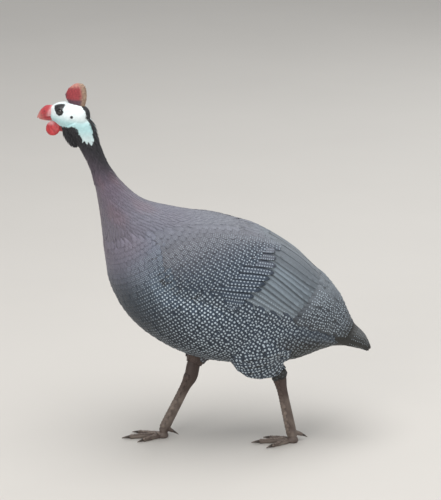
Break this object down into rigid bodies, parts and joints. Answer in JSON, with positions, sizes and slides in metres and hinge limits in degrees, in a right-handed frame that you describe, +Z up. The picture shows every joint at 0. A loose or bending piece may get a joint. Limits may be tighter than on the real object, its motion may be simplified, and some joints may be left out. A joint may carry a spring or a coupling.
{
  "type": "guinea fowl model",
  "caption": "Life-size still model of a spotted grey helmeted guinea fowl in mid stride, head turned a little to its right.",
  "frame": {"origin": "on the floor, under the middle of the bird's box", "axes": "+Z up; the bird walks towards -X and its left side is -Y"},
  "size_m": [0.4326, 0.171, 0.489],
  "materials": {
    "plumage": "dark grey feathers with white spots",
    "neck_plumage": "mauve to black feathers",
    "face_skin": "bare bluish white skin",
    "red_skin": "red fleshy skin",
    "bill_horn": "red to horn coloured bill",
    "casque_horn": "dull brown horn, red at the front",
    "leg_scales": "dark brown grey scales",
    "claw_horn": "dark horn",
    "eye": "wet gloss"
  },
  "bodies": {
    "root": {"head": "face_skin", "casque": "casque_horn", "bill_upper": "bill_horn", "bill_lower": "bill_horn", "eye_left": "eye", "wattle_left": "red_skin", "eye_right": "eye", "wattle_right": "red_skin", "neck": "neck_plumage", "trunk": "plumage", "tail": "plumage", "wing_left": "plumage", "thigh_left": "plumage", "shank_left": "leg_scales", "toe_inner_left": "leg_scales", "claw_inner_left": "claw_horn", "toe_middle_left": "leg_scales", "claw_middle_left": "claw_horn", "toe_outer_left": "leg_scales", "claw_outer_left": "claw_horn", "toe_hind_left": "leg_scales", "claw_hind_left": "claw_horn", "wing_right": "plumage", "thigh_right": "plumage", "shank_right": "leg_scales", "toe_inner_right": "leg_scales", "claw_inner_right": "claw_horn", "toe_middle_right": "leg_scales", "claw_middle_right": "claw_horn", "toe_outer_right": "leg_scales", "claw_outer_right": "claw_horn", "toe_hind_right": "leg_scales", "claw_hind_right": "claw_horn"}
  },
  "joints": []
}
